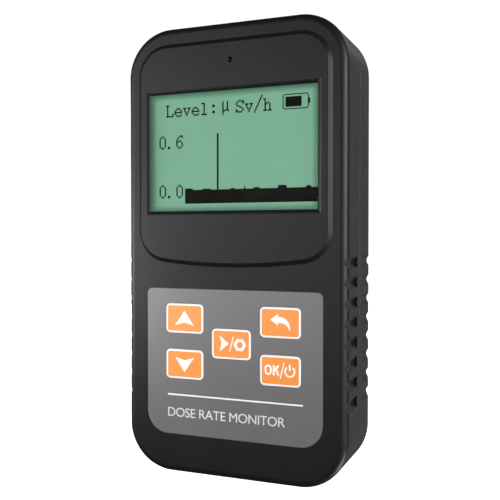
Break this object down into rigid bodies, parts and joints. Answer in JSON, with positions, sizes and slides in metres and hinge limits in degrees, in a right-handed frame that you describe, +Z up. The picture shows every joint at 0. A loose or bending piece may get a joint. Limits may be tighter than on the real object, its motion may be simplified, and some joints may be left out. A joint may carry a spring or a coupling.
{
  "type": "handheld geiger counter",
  "caption": "Handheld radiation detector: black two-part case, raised display surround with green screen, grey keypad with orange keys, side grips, tilting battery door.",
  "frame": {"origin": "centre of the case's footprint on its lower end, with the case's box centred on X and Y", "axes": "+Z up along the case's length, the display and keys face -Y, +X to the right of a person facing the display"},
  "size_m": [0.0622, 0.0264, 0.12],
  "materials": {
    "case_plastic": "fine matt moulded texture, near black",
    "clear_plastic": "clear acrylic, polished",
    "lcd_glass": "green reflective liquid crystal display glass",
    "black_plastic": "moulded black",
    "white_plastic": "milky white",
    "polyimide_film": "amber film",
    "keypad_film": "grey printed polycarbonate film, fine texture",
    "key_plastic": "orange keys with white borders and symbols",
    "steel": "zinc plated steel",
    "circuit_board": "green solder mask",
    "ferrite": "sintered ferrite",
    "copper_wire": "enamelled copper winding",
    "film_capacitor": "dipped film capacitor",
    "aluminium_can": "drawn can, satin",
    "brass": "rolled sheet",
    "tube_glass": "coated glass",
    "nickel": "nickel plated",
    "cell_jacket": "plain printed foil jacket on a metal can",
    "label_film": "blank silver grey label film"
  },
  "bodies": {
    "case": {"front_shell": "case_plastic", "rear_shell": "case_plastic", "display_window": "clear_plastic", "lcd_frame": "black_plastic", "lcd_glass": "lcd_glass", "lcd_backlight": "white_plastic", "lcd_ribbon": "polyimide_film", "ribbon_connector": "white_plastic", "light_pipe": "clear_plastic", "status_led": "white_plastic", "keypad_film": "keypad_film", "switch_up": "steel", "switch_down": "steel", "switch_settings": "steel", "switch_back": "steel", "switch_ok": "steel", "main_board": "circuit_board", "case_screw_1": "steel", "case_screw_2": "steel", "case_screw_3": "steel", "case_screw_4": "steel", "board_screw_1": "steel", "board_screw_2": "steel", "transformer_core": "ferrite", "transformer_winding": "copper_wire", "hv_capacitor": "film_capacitor", "filter_capacitor": "aluminium_can", "microcontroller": "black_plastic", "clock_crystal": "aluminium_can", "sounder": "brass", "detector_tube": "tube_glass", "tube_anode_cap": "nickel", "tube_cathode_cap": "nickel", "tube_clip_upper": "brass", "tube_clip_lower": "brass", "battery_cell_1": "cell_jacket", "battery_cell_2": "cell_jacket", "battery_cell_3": "cell_jacket", "contact_spring_1": "nickel", "contact_spring_2": "nickel", "contact_spring_3": "nickel", "contact_bridge_upper": "nickel", "contact_bridge_lower": "nickel", "contact_negative": "nickel", "contact_positive": "nickel", "rating_label": "label_film"},
    "battery_cover": {"battery_door": "case_plastic"},
    "button_up": {"key_up": "key_plastic", "plunger_up": "black_plastic"},
    "button_down": {"key_down": "key_plastic", "plunger_down": "black_plastic"},
    "button_settings": {"key_settings": "key_plastic", "plunger_settings": "black_plastic"},
    "button_back": {"key_back": "key_plastic", "plunger_back": "black_plastic"},
    "button_ok": {"key_ok": "key_plastic", "plunger_ok": "black_plastic"}
  },
  "joints": [
    {"name": "press_up", "type": "slide", "parent": "case", "child": "button_up", "axis": [0, 1, 0], "range_m": [0, 0.0004], "stiffness_N_per_m": 200},
    {"name": "press_down", "type": "slide", "parent": "case", "child": "button_down", "axis": [0, 1, 0], "range_m": [0, 0.0004], "stiffness_N_per_m": 200},
    {"name": "press_settings", "type": "slide", "parent": "case", "child": "button_settings", "axis": [0, 1, 0], "range_m": [0, 0.0004], "stiffness_N_per_m": 200},
    {"name": "press_back", "type": "slide", "parent": "case", "child": "button_back", "axis": [0, 1, 0], "range_m": [0, 0.0004], "stiffness_N_per_m": 200},
    {"name": "press_ok", "type": "slide", "parent": "case", "child": "button_ok", "axis": [0, 1, 0], "range_m": [0, 0.0004], "stiffness_N_per_m": 200},
    {"name": "battery_door_tilt", "type": "hinge", "parent": "case", "child": "battery_cover", "pos_m": [-0.01025, 0.0132, 0.06515], "axis": [1, 0, 0], "range_deg": [0, 70]}
  ]
}
